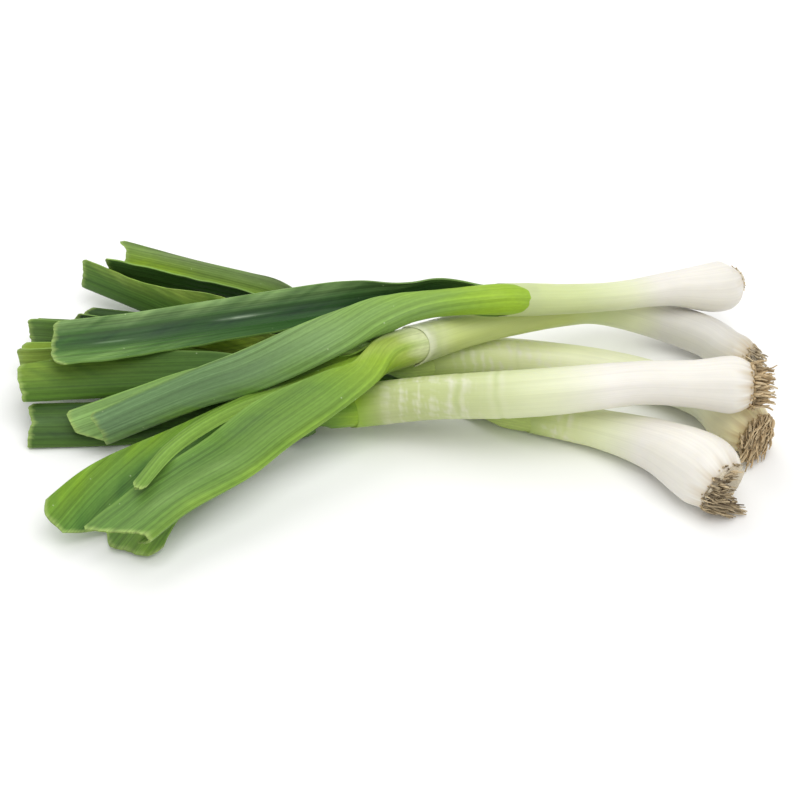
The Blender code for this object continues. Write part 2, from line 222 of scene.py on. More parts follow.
class Route:
    """A smooth curve through rows of numbers, the first three of which are x, y and z."""

    SAMPLES = 24
    TANGENT_REACH = 2.0

    def __init__(self, rows):
        rows = np.array(rows, float)
        padded = np.vstack([2 * rows[0] - rows[1], rows, 2 * rows[-1] - rows[-2]])
        t = np.linspace(0, 1, self.SAMPLES, endpoint=False)[:, None]
        spans = []
        for p0, p1, p2, p3 in zip(padded, padded[1:], padded[2:], padded[3:]):
            square = 2 * p0 - 5 * p1 + 4 * p2 - p3
            cube = 3 * p1 - p0 - 3 * p2 + p3
            spans.append(0.5 * (2 * p1 + (p2 - p0) * t + square * t**2 + cube * t**3))
        self.samples = np.vstack(spans + [rows[-1:]])
        steps = np.linalg.norm(np.diff(self.samples[:, :3], axis=0), axis=1)
        self.along = np.concatenate([[0.0], np.cumsum(steps)])
        self.length = self.along[-1]

    def at(self, distance):
        """The rows at these distances along the curve."""
        return np.stack([np.interp(distance, self.along, column) for column in self.samples.T], axis=-1)

    def tangent(self, distance):
        """The directions of the curve at these distances along it."""
        ahead = self.at(np.minimum(np.asarray(distance) + self.TANGENT_REACH, self.length))[..., :3]
        behind = self.at(np.maximum(np.asarray(distance) - self.TANGENT_REACH, 0.0))[..., :3]
        return unit(ahead - behind)


def unit(vectors):
    """The same directions, one long."""
    return vectors / np.linalg.norm(vectors, axis=-1, keepdims=True)


def upright_frame(tangent):
    """The directions up and sideways across a line that runs along tangent."""
    up = np.array([0.0, 0.0, 1.0])
    up = unit(up - tangent * (tangent @ up)[..., None])
    return up, np.cross(tangent, up)


def ripple(x, seed, count=5):
    """A smooth wandering value between about -1 and 1, made of count waves."""
    dice = random.Random(seed)
    total = np.zeros(np.shape(x))
    for k in range(1, count + 1):
        pace = dice.uniform(0.6, 1.4)
        shift = dice.uniform(0, 2 * math.pi)
        total = total + np.sin(np.asarray(x) * pace * k + shift) / k
    return total / 1.6


def blend_stops(stops, share):
    """Colours along a row of (place, colour) stops."""
    places = [place for place, colour in stops]
    bands = zip(*(colour for place, colour in stops))
    return np.stack([np.interp(share, places, band) for band in bands], axis=-1)


def mixed(colours, other, amount):
    """Colours turned towards another by amount, between 0 and 1."""
    amount = np.asarray(amount)[..., None]
    return colours * (1 - amount) + np.asarray(other) * amount


def raise_mesh(name, points, faces, tints, places, material, node, sharp, vein_strengths=1.0):
    """A piece from points in millimetres, coloured by tints, with its grain laid along places."""
    points = np.asarray(points, float) - CENTRE
    points[:, 2] = np.maximum(points[:, 2], 0.0)
    mesh = bpy.data.meshes.new(name)
    mesh.from_pydata((points * MM).tolist(), [], faces)
    tint = mesh.color_attributes.new("tint", "FLOAT_COLOR", "POINT")
    strengths = np.ones(len(points)) * np.asarray(vein_strengths)
    tint.data.foreach_set("color", np.column_stack([np.asarray(tints), strengths]).ravel())
    grain = mesh.uv_layers.new(name="grain")
    corners = np.empty(len(mesh.loops), int)
    mesh.loops.foreach_get("vertex_index", corners)
    grain.data.foreach_set("uv", (np.asarray(places)[corners] * MM).ravel())
    shape = bmesh.new()
    shape.from_mesh(mesh)
    bmesh.ops.recalc_face_normals(shape, faces=shape.faces)
    shape.to_mesh(mesh)
    shape.free()
    mesh.shade_smooth()
    mesh.set_sharp_from_angle(angle=math.radians(sharp))
    mesh.materials.append(material)
    piece = set_out(name, mesh)
    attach(piece, "root")
    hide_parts(node)


def tube_sides(rings, sides):
    """Faces round a tube of rings, open at both ends."""
    faces = []
    for ring in range(rings - 1):
        for side in range(sides):
            a = ring * sides + side
            b = ring * sides + (side + 1) % sides
            faces.append((a, b, b + sides, a + sides))
    return faces


def tube_faces(rings, sides):
    """Faces of a closed tube of rings, with one over each end."""
    return tube_sides(rings, sides) + [tuple(range(sides)), tuple(range((rings - 1) * sides, rings * sides))]


def lay(tree, kind, **settings):
    """A shader node with these settings; in_ before a name makes it the name of an input socket."""
    node = tree.nodes.new("ShaderNode" + kind)
    for key, value in settings.items():
        if key.startswith("in_"):
            node.inputs[key[3:].replace("_", " ")].default_value = value
        else:
            setattr(node, key, value)
    return node


def new_material(name):
    """A material with its node tree, its shader and the tint of the mesh it lies on."""
    material = bpy.data.materials.new(name)
    material.use_nodes = True
    tree = material.node_tree
    tint = lay(tree, "Attribute", attribute_name="tint")
    return material, tree, tree.nodes["Principled BSDF"], tint


def grain_noise(tree, across, along, detail, shift):
    """Noise drawn out along the grain: across and along are how many cells there are to a metre."""
    grain = lay(tree, "UVMap", uv_map="grain")
    scaled = lay(tree, "VectorMath", operation="MULTIPLY_ADD")
    scaled.inputs[1].default_value = (across, along, 1.0)
    scaled.inputs[2].default_value = (shift, shift * 1.7, shift * 0.4)
    tree.links.new(grain.outputs["UV"], scaled.inputs[0])
    noise = lay(tree, "TexNoise", in_Scale=1.0, in_Detail=detail, in_Roughness=0.55)
    tree.links.new(scaled.outputs["Vector"], noise.inputs["Vector"])
    return noise.outputs["Fac"]


def ranged(tree, value, span, to_low, to_high):
    """A value held inside span and carried over to the stretch from to_low to to_high."""
    low, high = span
    spread = lay(tree, "MapRange", in_From_Min=low, in_From_Max=high)
    spread.inputs["To Min"].default_value = to_low
    spread.inputs["To Max"].default_value = to_high
    tree.links.new(value, spread.inputs["Value"])
    return spread.outputs["Result"]


def times(tree, colour, value):
    """A colour made darker or lighter by a value."""
    product = lay(tree, "VectorMath", operation="SCALE")
    tree.links.new(colour, product.inputs[0])
    tree.links.new(value, product.inputs["Scale"])
    return product.outputs["Vector"]


def shaded(tree, colour, noise, darkest, lightest):
    """A colour made darker and lighter by a noise."""
    return times(tree, colour, ranged(tree, noise, NOISE_MIDDLE, darkest, lightest))


def roughen(tree, shader, height, strength):
    """A fine relief on the surface, taken from a noise."""
    bump = lay(tree, "Bump", in_Strength=strength, in_Distance=RELIEF_DEPTH)
    tree.links.new(height, bump.inputs["Height"])
    tree.links.new(bump.outputs["Normal"], shader.inputs["Normal"])


def sheath_skin():
    """White to green sheath skin: fine parallel veins under a waxy surface."""
    material, tree, shader, tint = new_material("sheath skin")
    veins = grain_noise(tree, across=1100, along=9, detail=3.0, shift=0.3)
    bands = grain_noise(tree, across=170, along=6, detail=2.0, shift=5.1)
    clouds = grain_noise(tree, across=50, along=30, detail=3.0, shift=9.4)
    colour = shaded(tree, tint.outputs["Color"], veins, 0.95, 1.03)
    colour = shaded(tree, colour, bands, 0.97, 1.02)
    colour = shaded(tree, colour, clouds, 0.95, 1.02)
    tree.links.new(colour, shader.inputs["Base Color"])
    tree.links.new(ranged(tree, bands, NOISE_MIDDLE, 0.32, 0.46), shader.inputs["Roughness"])
    shader.inputs["Subsurface Weight"].default_value = 0.12
    shader.inputs["Subsurface Radius"].default_value = (0.006, 0.005, 0.002)
    shader.inputs["Subsurface Scale"].default_value = 1.0
    roughen(tree, shader, veins, 0.2)
    return material


SHEATH_SKIN = sheath_skin()


def shaft_profile(route, plate_share):
    """How far along the shaft each ring from the plate to the neck is, and its share of the radius."""
    reach = route.at(0.0)[3] * BULB_END_REACH
    first = math.acos(plate_share)
    turns = np.linspace(first, 0.0, BULB_END_RINGS, endpoint=False)
    rounded = reach * (1 - np.sin(turns) / math.sin(first))
    straight = np.linspace(reach, route.length, max(4, round((route.length - reach) / SHAFT_STEP)))
    distances = np.concatenate([rounded, straight])
    factors = np.concatenate([np.cos(turns), np.ones(len(straight))])
    return distances, factors


def crease_depth(to_neck, angle, creases, seed):
    """How deep the skin is creased there: fine uneven rings with a soft bulge on each side."""
    depth = np.zeros(np.broadcast(to_neck, angle).shape)
    for k, (place, strength) in enumerate(creases):
        stray = CREASE_STRAY * ripple(angle * 1.5, seed + k, 4)
        fade = 0.6 + 0.4 * ripple(angle * 1.5, seed + 40 + k, 3)
        off = (to_neck - place - stray) / CREASE_HALF_WIDTH
        bulges = BULGE_SHARE * np.exp(-((np.abs(off) - BULGE_PLACE) ** 2) / 2.0)
        depth = depth + strength * fade * (np.exp(-(off**2)) - bulges)
    return depth


def streak_strength(to_neck, angle, streaked, seed):
    """Short pale streaks along the skin, between 0 and 1, where it is slack."""
    middle, half_length = streaked
    if half_length == 0:
        return np.zeros(np.broadcast(to_neck, angle).shape)
    window = np.clip(1.3 - ((to_neck - middle) / half_length) ** 2, 0, 1)
    lines = ripple(to_neck * 0.8 + 1.3 * ripple(angle * 2, seed + 61, 4), seed + 60, 6)
    breaks = ripple(angle * 4 + to_neck * 0.12, seed + 62, 5)
    return window * np.clip(0.65 * lines + 0.55 * breaks, 0, 1)


def grow_shaft(leek, seed, mouth_turns, stops, streaked, dryness, creases=(), set_back=8, overlap=0, rim=0):
    """The bulb and shaft with the mouth of its outer sheath and the core that the leaves clasp.
    stops are its colours from the root end (0) to the neck (1), streaked the middle and half length of
    the stretch with pale streaks, dryness how tan it is beside the roots, and creases the rings where
    it is creased (millimetres before the neck, depth). The mouth's edge lies overlap beyond the neck
    at mouth_turns, where leaves come out, and set_back further between them; rim is its pale rim."""
    route = Route(SHAFTS[leek])
    distances, factors = shaft_profile(route, PLATE_SHARES[leek])
    angles = 2 * math.pi * np.arange(SHAFT_SIDES) / SHAFT_SIDES
    rows = []

    def ring(reach, radius, shade=0.0, lumps=1.0, paleness=0.0):
        """One ring of the surface at these distances, which may differ round the shaft."""
        reach = np.broadcast_to(np.asarray(reach, float), angles.shape)
        inside = np.clip(reach, 0.0, route.length)
        tangent = route.tangent(inside)
        up, side = upright_frame(tangent)
        centre = route.at(inside)[:, :3] + tangent * (reach - inside)[:, None]
        to_neck = route.length - reach
        crease = crease_depth(to_neck, angles, creases, seed)
        streak = streak_strength(to_neck, angles, streaked, seed)
        lump = SKIN_LUMP * ripple(angles * 2 + reach * 0.02, seed, 4)
        skin = lump + SKIN_WAVE * ripple(reach * 0.09 + 2 * np.sin(angles), seed + 9, 5)
        skin = skin - crease + STREAK_HEIGHT * streak
        size = radius + lumps * (skin - SKIN_LUMP * 0.5)
        points = centre + (up * np.cos(angles)[:, None] + side * np.sin(angles)[:, None]) * size[:, None]
        colours = blend_stops(stops, np.clip(reach / route.length, 0.0, 1.0))
        colours = mixed(colours, CREASE_GREEN, np.clip(crease * 2.2, 0, 0.45))
        colours = mixed(colours, WHITE, np.clip(-crease * 2.5, 0, 0.5))
        colours = mixed(colours, WHITE, 0.5 * streak)
        wisps = 0.5 + 0.5 * ripple(angles * WISP_PACE, seed + 3, 5)
        near_root = np.clip(1 - reach / (WISP_REACH + WISP_EXTRA * wisps), 0, 1) ** 1.3
        colours = mixed(colours, TAN, dryness * near_root * (0.5 + 0.5 * wisps))
        colours = mixed(colours, COLLAR, paleness)
        places = np.column_stack([angles * GRAIN_RADIUS, reach])
        rows.append((points, colours * (1 - shade), places))

    for distance, factor in zip(distances, factors):
        ring(distance, route.at(distance)[3] * factor)
    neck, neck_radius = route.length, route.at(route.length)[3]
    nearest = np.full(angles.shape, 180.0)
    for turn in mouth_turns:
        apart = np.abs((np.degrees(angles) - turn + 180) % 360 - 180)
        nearest = np.minimum(nearest, apart)
    mouth = overlap + set_back * np.minimum(nearest / CLASP_ANGLE, 1.1) ** 2
    pale = RIM_PALENESS * rim
    for share in (0.25, 0.5, 0.75):
        ring(neck + mouth * share, neck_radius + rim * 0.5 * share)
    for before, height, fade in RIM_RINGS:
        if rim:
            ring(neck + mouth - before, neck_radius + rim * height, paleness=pale * fade)
    lip_radius = neck_radius - LIP_THICKNESS * 0.4 + rim * 0.4
    ring(neck + mouth + LIP_ROUNDING + rim, lip_radius, paleness=pale)
    ring(neck + mouth, neck_radius - LIP_THICKNESS, shade=0.1, paleness=pale)
    ring(neck - LIP_DEPTH * 0.5, neck_radius - LIP_THICKNESS - 0.2, shade=0.3, lumps=0.0)
    core = neck_radius - KEEL_THICKNESS - LEAF_GAP - 0.3
    ring(neck - LIP_DEPTH, core, shade=0.3, lumps=0.0)
    for share in np.linspace(0.0, 1.0, CORE_RINGS):
        taper = 1 - (1 - CORE_TIP_SHARE) * share**2
        ring(neck + CORE_LENGTH * share, core * taper, shade=0.15, lumps=0.0)
    ring(neck + CORE_LENGTH + CORE_ROUNDING, core * CORE_TIP_SHARE * 0.7, shade=0.2, lumps=0.0)
    points, colours, places = (np.vstack([row[k] for row in rows]) for k in range(3))
    faces = tube_faces(len(rows), SHAFT_SIDES)
    raise_mesh(
        f"{leek}_sheath", points, faces, colours, places,
        SHEATH_SKIN, f"{leek}_shaft", sharp=60,
    )


grow_shaft(
    "leek_a", seed=11, mouth_turns=(-50, 130), set_back=12, overlap=3.5,
    stops=[(0, WHITE), (0.4, WHITE), (0.55, CREAM), (0.78, (0.62, 0.69, 0.34)), (1, (0.58, 0.66, 0.3))],
    streaked=(40, 0), dryness=0.5,
)
grow_shaft(
    "leek_b", seed=12, mouth_turns=(-50, 130),
    stops=[
        (0, GREYED), (0.1, SILVER), (0.26, SILVER), (0.36, CREAM), (0.48, (0.64, 0.72, 0.36)),
        (0.6, FADED_GREEN), (0.92, FADED_GREEN), (1, (0.6, 0.66, 0.34)),
    ],
    creases=[(7, 0.12)], streaked=(20, 0), rim=0.6, dryness=0.7,
)
grow_shaft(
    "leek_c", seed=13, mouth_turns=(110, -70),
    stops=[
        (0, WHITE), (0.36, WHITE), (0.5, CREAM), (0.66, (0.58, 0.64, 0.32)), (0.86, (0.46, 0.52, 0.21)),
        (0.93, (0.47, 0.52, 0.24)), (0.955, (0.36, 0.45, 0.12)), (1, LIME),
    ],
    creases=[(61, 0.2), (83, 0.22)], streaked=(42, 30), dryness=0.85,
)
grow_shaft(
    "leek_d", seed=14, mouth_turns=(90, -90),
    stops=[
        (0, (0.84, 0.76, 0.42)), (0.07, (0.86, 0.82, 0.56)), (0.18, (0.8, 0.82, 0.62)), (0.35, CREAM),
        (0.5, (0.78, 0.8, 0.55)), (0.8, (0.74, 0.78, 0.42)), (1, YELLOW_GREEN),
    ],
    creases=[(52, 0.12)], streaked=(50, 40), dryness=1.0,
)
grow_shaft(
    "leek_e", seed=15, mouth_turns=(90, -90),
    stops=[(0, WHITE), (0.42, WHITE), (0.62, CREAM), (0.85, (0.62, 0.68, 0.3)), (1, YELLOW_GREEN)],
    creases=[(16, 0.12), (21, 0.1)], streaked=(18, 12), dryness=0.55,
)

# The roots: a corky plate under each bulb and the short dry fibres left on it when they were trimmed.
# They are stiff, tan to grey-brown, and curl as they dry; one leek's are swept down and one's are
# clotted into a hooked tuft.

STRAW = (0.66, 0.53, 0.33)
RUSSET = (0.44, 0.31, 0.16)
SOOT = (0.13, 0.09, 0.05)
ASH = (0.36, 0.31, 0.24)
CUT_PLATE = (0.86, 0.8, 0.64)
CORK = (0.42, 0.31, 0.17)

# The plate's rings, each its depth and its width as shares of the plate's thickness and radius.
PLATE_RINGS = ((0.0, 1.0), (0.45, 0.97), (0.8, 0.8), (1.0, 0.5), (0.85, 0.15))
PLATE_SIDES = 32
PLATE_THICKNESS = 2.2
PLATE_GAP = 0.2

FIBRE_SIDES = 6
FIBRE_RINGS = 9
FIBRE_TAPER = 0.55
FIBRE_DRIFT = 0.22
FIBRE_CURL = 0.16
LONGEST_CURL = 6
ROOT_AREA = 0.9
BARE_SIDE = -0.6
SKIRT_REACH = 2.6
BOX_MARGIN = 1.5


def root_bark():
    """Dry root fibre: dull, streaked along its length and dark in its hollows."""
    material, tree, shader, tint = new_material("root bark")
    fibres = grain_noise(tree, across=1500, along=300, detail=4.0, shift=2.2)
    tree.links.new(shaded(tree, tint.outputs["Color"], fibres, 0.6, 1.3), shader.inputs["Base Color"])
    shader.inputs["Roughness"].default_value = 0.88
    roughen(tree, shader, fibres, 0.6)
    return material


ROOT_BARK = root_bark()


def in_millimetres(box):
    """The low and high corners of a box as the tables count them."""
    return (np.array(corner) / MM + CENTRE for corner in box)


def grow_roots(leek, seed, count, skirt, length, spread, sweep, thick, light, dark, cork, lean=0, bare=0):
    """The corky plate with its tuft: count fibres on the plate and skirt more on the skin round it.
    spread is how far they splay, lean how much longer the low ones are, sweep where their tips go,
    thick a fibre's radius, light and dark its colours, cork how brown the plate between them is,
    and bare how far from the plate's right side there are none."""
    dice = random.Random(seed)
    route = Route(SHAFTS[leek])
    plate_radius = route.at(0.0)[3] * PLATE_SHARES[leek]
    outward = -route.tangent(0.0)
    up, side = upright_frame(outward)
    face = route.at(0.0)[:3] + outward * PLATE_GAP
    whole_low, whole_high = in_millimetres(cad_box)
    low, high = in_millimetres(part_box(f"{leek}_roots"))
    low = np.maximum(low - BOX_MARGIN, whole_low) + thick
    high = np.minimum(high + BOX_MARGIN, whole_high) - thick
    points, colours, places, faces = [], [], [], []

    def tube(centres, headings, radii, sides, tones):
        """A lumpy tube along centres, with its rings across headings."""
        start = len(points)
        for centre, heading, radius, tone in zip(centres, headings, radii, tones):
            ring_up, ring_side = upright_frame(heading)
            for k in range(sides):
                a = 2 * math.pi * (k + 0.5) / sides
                bump = 1 + 0.12 * dice.uniform(-1, 1)
                points.append(centre + (ring_up * math.cos(a) + ring_side * math.sin(a)) * radius * bump)
                colours.append(tone)
                places.append((a * radius, len(points) * 0.3))
        faces.extend(tuple(start + i for i in corners) for corners in tube_faces(len(centres), sides))

    plate = mixed(np.array(CUT_PLATE), CORK, cork)
    plate_tones = [plate * (1 - 0.12 * k * cork) for k in range(len(PLATE_RINGS))]
    plate_centres = [face + outward * PLATE_THICKNESS * depth for depth, width in PLATE_RINGS]
    plate_radii = [plate_radius * width for depth, width in PLATE_RINGS]
    tube(plate_centres, [outward] * len(PLATE_RINGS), plate_radii, PLATE_SIDES, plate_tones)
    distances, factors = shaft_profile(route, PLATE_SHARES[leek])
    skin_radii = [route.at(distance)[3] * factor for distance, factor in zip(distances, factors)]
    t = np.linspace(0, 1, FIBRE_RINGS)[:, None]
    for k in range(count + skirt):
        share = math.sqrt(min(k + 0.5, count) / count)
        turn = k * 2.4 + dice.uniform(-0.2, 0.2)
        radial = up * math.cos(turn) + side * math.sin(turn)
        if bare and np.linalg.norm(radial * share - BARE_SIDE * side) < bare:
            continue
        start = face + outward * PLATE_THICKNESS * 0.3 + radial * plate_radius * ROOT_AREA * share
        growth = dice.uniform(0.45, 1.0) * (1 - lean * share * math.cos(turn))
        reach = length * growth
        splay = spread * share * dice.uniform(0.3, 1.6)
        drift = np.array([dice.uniform(-FIBRE_DRIFT, FIBRE_DRIFT) for axis in range(3)]) * length
        heading = outward * reach + radial * reach * splay
        bend = np.array(sweep, float) * growth + drift
        curl = np.array([dice.uniform(-1, 1) for axis in range(3)]) * min(length, LONGEST_CURL) * FIBRE_CURL
        path = heading * t + bend * t * t + curl * np.sin(t * math.pi * dice.uniform(1.2, 2.4))
        if k >= count:
            first = SKIRT_REACH * dice.uniform(0.15, 1.0) ** 2
            behind = np.linspace(first, -reach * 0.55, FIBRE_RINGS)[:, None]
            laid = np.interp(behind, distances, skin_radii)
            laid = laid + thick * (0.1 + 0.7 * t + 1.2 * np.sin(t * math.pi))
            start = face - outward * behind[0] + radial * laid[0]
            path = face - outward * behind + radial * laid - start + (bend * 0.5 + curl) * t * t
        ahead = low if k < count else np.minimum(low, start)
        room_high = (high - start) / np.maximum(path, 0.001)
        room_low = (ahead - start) / np.minimum(path, -0.001)
        room = np.where(path > 0, room_high, room_low).min()
        centres = start + path * min(1.0, max(0.2, room))
        centres = np.clip(centres, whole_low + thick, whole_high - thick)
        headings = unit(np.gradient(centres, axis=0))
        radii = thick * dice.uniform(0.7, 1.35) * (1 - FIBRE_TAPER * t[:, 0])
        tone = mixed(np.array(light), dark, dice.uniform(0, 1)) * dice.uniform(0.75, 1.2)
        overlay_colour, strength = SOOT, 0.7
        if k >= count:
            radii = radii * np.clip(0.3 + 2 * t[:, 0], 0, 1)
            overlay_colour, strength = TAN, 1.0
        tones = [mixed(tone, overlay_colour, max(0.0, strength * (1 - 2.5 * s))) for s in t[:, 0]]
        tube(centres, headings, radii, FIBRE_SIDES, tones)
    raise_mesh(
        f"{leek}_fibres", points, faces, colours, places,
        ROOT_BARK, f"{leek}_roots", sharp=70,
    )


grow_roots(
    "leek_a", seed=3, count=26, skirt=12, length=2, spread=0.2, sweep=(0, 0, -1),
    thick=0.45, light=STRAW, dark=TAN, cork=0.3,
)
grow_roots(
    "leek_b", seed=5, count=80, skirt=30, length=8, spread=0.2, sweep=(0, -1, -2),
    thick=0.6, light=STRAW, dark=ASH, cork=0.8,
)
grow_roots(
    "leek_c", seed=7, count=120, skirt=60, length=12, spread=0.05, sweep=(1, 0, 0),
    thick=0.85, light=STRAW, dark=RUSSET, cork=1.0,
)
grow_roots(
    "leek_d", seed=11, count=130, skirt=60, length=11, spread=0.3, lean=0.2, sweep=(-8, -2, -5),
    thick=0.75, light=STRAW, dark=RUSSET, cork=1.0,
)
grow_roots(
    "leek_e", seed=13, count=300, skirt=70, length=6, spread=0.4, lean=0.5, sweep=(8, 1, 0),
    thick=0.7, light=STRAW, dark=SOOT, cork=0.4, bare=0.9,
)

# The upper leek's two leaves. The front one is a waxed blade that leaves its mouth bright lime, crosses
# the pile and was cut in two steps; the back one is dark and glossy and runs straight to the left.
# Like all the leaves they are long, spongy and close-veined, folded at a keel and cut off at the end.

FRESH = (0.155, 0.29, 0.05)
MID = (0.085, 0.185, 0.03)
DARK = (0.03, 0.085, 0.025)
CUT_RIM = (0.34, 0.47, 0.13)
RIM_GREEN = (0.22, 0.38, 0.07)
WAX = (0.17, 0.25, 0.15)
# The pale flecks are painted glints: tiny highlights laid into the leaves' colour.
GLINT_FLECK = (0.5, 0.62, 0.34)

# The blade's mesh and thickness. A leaf starts round the core in its mouth, or at the core's tip.
CLASP_LENGTH = 22.0
CLASP_START = 4.0
TIP_BASE_LENGTH = 6.0
TUCK = 0.45
BLADE_COLUMNS = 49
BLADE_STEP = 1.5
BEND_STEPS = 28
KEEL_SHARPNESS = 0.14
MARGIN_THICKNESS = 1.0
EDGE_ROUNDING = 0.15

# The cut end: where across the leaf its trims are given, how far it is pressed thin, and how deep
# its spongy middle has dried back.
TRIM_PLACES = (-1.0, -0.5, -0.1, 0.1, 0.5, 1.0)
CRUSH_SHARE = 0.25
CRUSH_LENGTH = 3
PITH_DEPTH = 0.5
PITH_RAG = 0.35

# The blade's relief: rippled margins, fine pleats all over it and a rib under the keel.
RUFFLE_PACE = 0.11
PLEAT_HEIGHT = 0.1
PLEAT_PACE = 1.35
RIB_HEIGHT = 0.35
RIB_WIDTH = 1.3

# Its colours: the fine bright lines at its margins and under its keel, the pale band at the cut,
# and where the veins reach their full strength.
LINE_WIDTH = 0.8
MARGIN_LINE = 0.5
KEEL_LINE = 0.22
CUT_BAND = 2.4
BASE_VEINS = 0.25
VEINED_BY = 110.0


def softened(tree, value, amount):
    """A value near 1, brought closer to 1 as amount falls to 0."""
    apart = lay(tree, "Math", operation="SUBTRACT")
    tree.links.new(value, apart.inputs[0])
    apart.inputs[1].default_value = 1.0
    kept = lay(tree, "Math", operation="MULTIPLY_ADD")
    tree.links.new(apart.outputs[0], kept.inputs[0])
    tree.links.new(amount, kept.inputs[1])
    kept.inputs[2].default_value = 1.0
    return kept.outputs[0]


def over(tree, amount, colour, other):
    """A colour with another, plain one laid over it by amount."""
    mix = lay(tree, "Mix", data_type="RGBA")
    tree.links.new(amount, mix.inputs[0])
    tree.links.new(colour, mix.inputs[6])
    mix.inputs[7].default_value = (*other, 1.0)
    return mix.outputs[2]


def leaf_skin(name, wax, gloss):
    """Leaf skin: close dark and light veins, soft broad bands, small pale flecks of painted glint and a film
    of wax.
    """
    material, tree, shader, tint = new_material(name)
    veins = grain_noise(tree, across=1100, along=6, detail=2.0, shift=1.3)
    cords = grain_noise(tree, across=420, along=4, detail=2.0, shift=3.9)
    bands = grain_noise(tree, across=150, along=4, detail=2.0, shift=4.4)
    clouds = grain_noise(tree, across=60, along=18, detail=4.0, shift=7.7)
    mottle = grain_noise(tree, across=900, along=260, detail=3.0, shift=2.9)
    strength = tint.outputs["Alpha"]
    fine = softened(tree, ranged(tree, veins, (0.32, 0.68), 0.76, 1.22), strength)
    broad = softened(tree, ranged(tree, cords, (0.35, 0.65), 0.86, 1.12), strength)
    colour = times(tree, times(tree, tint.outputs["Color"], fine), broad)
    colour = shaded(tree, colour, bands, 0.9, 1.1)
    colour = shaded(tree, colour, mottle, 0.93, 1.07)
    colour = over(tree, ranged(tree, clouds, (0.42, 0.75), 0.0, wax), colour, WAX)
    # Small pale flecks of painted glint, as from gloss dots, laid over the colour.
    place = lay(tree, "TexCoord")
    flecks = lay(tree, "TexVoronoi", in_Scale=100.0)
    tree.links.new(place.outputs["Object"], flecks.inputs["Vector"])
    colour = over(tree, ranged(tree, flecks.outputs["Distance"], (0.02, 0.065), 0.6, 0.0), colour, GLINT_FLECK)
    tree.links.new(colour, shader.inputs["Base Color"])
    tree.links.new(ranged(tree, clouds, NOISE_MIDDLE, gloss, gloss + 0.18), shader.inputs["Roughness"])
    shader.inputs["Specular IOR Level"].default_value = 0.22
    roughen(tree, shader, cords, 0.35)
    return material


WAXY_SKIN = leaf_skin("waxed leaf skin", wax=0.3, gloss=0.42)
GLOSSY_SKIN = leaf_skin("glossy leaf skin", wax=0.03, gloss=0.36)
BRIGHT_SKIN = leaf_skin("bright leaf skin", wax=0.05, gloss=0.42)


def base_rows(leek, roll, at_tip):
    """The first rows of a leaf, curved round the core or rolled up in line with its tip."""
    route = Route(SHAFTS[leek])
    neck = route.at(route.length)
    direction = route.tangent(route.length)
    up, side = upright_frame(direction)
    opening = up * math.cos(math.radians(roll)) + side * math.sin(math.radians(roll))
    middle = neck[3] - KEEL_THICKNESS / 2
    reach = (LEAF_GAP - CLASP_START, CLASP_LENGTH)
    tucks = (TUCK, 0.0)
    if at_tip:
        middle = (neck[3] - KEEL_THICKNESS - LEAF_GAP) * CORE_TIP_SHARE - KEEL_THICKNESS / 2
        reach = (CORE_LENGTH + LEAF_GAP, CORE_LENGTH + TIP_BASE_LENGTH)
        tucks = (0.0, 0.0)
    rows = []
    for distance, tuck in zip(reach, tucks):
        point = neck[:3] + direction * distance - opening * (middle - tuck)
        half_width = (middle - tuck) * math.radians(CLASP_ANGLE)
        rows.append((*point, roll, half_width, half_width, 0.0, CLASP_ANGLE))
    return rows


def section_bend(fold, curl, across):
    """How far the leaf has turned, in radians, at these places across it."""
    return np.radians(fold) * np.tanh(across / KEEL_SHARPNESS) + np.radians(curl) * across


def section_offset(half_width, fold, curl, across):
    """How far places across the leaf are sideways and upwards of the keel.
    The leaf bends without stretching, sharply at the keel and evenly over each side."""
    x = np.zeros(across.shape)
    y = np.zeros(across.shape)
    for k in range(BEND_STEPS):
        bend = section_bend(fold, curl, across * (k + 0.5) / BEND_STEPS)
        x += np.cos(bend) * half_width * across / BEND_STEPS
        y += np.sin(bend) * half_width * across / BEND_STEPS
    return x, y


def leaf_trim(across, half_end, trims, corner, spur, seed):
    """How much shorter the leaf is at these places across it: a ragged cut, rounded at both ends."""
    rag = 0.7 * ripple(across * 9, seed, 4) + 0.35 * ripple(across * 37, seed + 1, 4)
    rounding = corner * np.clip((np.abs(across) - 1) * half_end / corner + 1, 0, 1) ** 2
    trim = np.interp(across, TRIM_PLACES, trims) + np.maximum(rag, -0.8) * 0.7 + 0.6 + rounding
    return trim - spur * np.exp(-(((across - 0.95) / 0.1) ** 2))


def leaf_colours(sign, stops, marks, grid, half_width, distance, share, left, seed):
    """The colours of one face of a leaf, inner (1) or outer (-1), with left millimetres to its end."""
    colour = blend_stops(stops, share + 0.03 * ripple(grid * 3 + sign, seed + 8))
    margin = half_width * (1 - np.abs(grid))
    margin_line = np.clip(1 - margin / LINE_WIDTH, 0, 1) * np.clip(share * 5, 0, 1)
    colour = mixed(colour, RIM_GREEN, MARGIN_LINE * margin_line)
    if sign < 0:
        keel_line = np.exp(-((grid * half_width / LINE_WIDTH) ** 2))
        colour = mixed(colour, RIM_GREEN, KEEL_LINE * keel_line * np.clip(share * 3, 0, 1))
    # The marks are bruises and yellowed spots, and some are painted highlights, painted shadow and painted
    # light.
    for face, at_across, at_share, wide, long, overlay_colour, strength in marks:
        if face == sign:
            patch = np.exp(-(((grid - at_across) / wide) ** 2) - ((share - at_share) / long) ** 2)
            patch = patch * (0.75 + 0.35 * ripple(distance * 0.15 + grid * 6, seed + 12))
            colour = mixed(colour, overlay_colour, np.clip(strength * patch, 0, 1))
    band = CUT_BAND * (1 + 0.45 * ripple(grid * 23, seed + 10, 5))
    return mixed(colour, CUT_RIM, 0.8 * np.clip(1.25 - left / band, 0, 1))


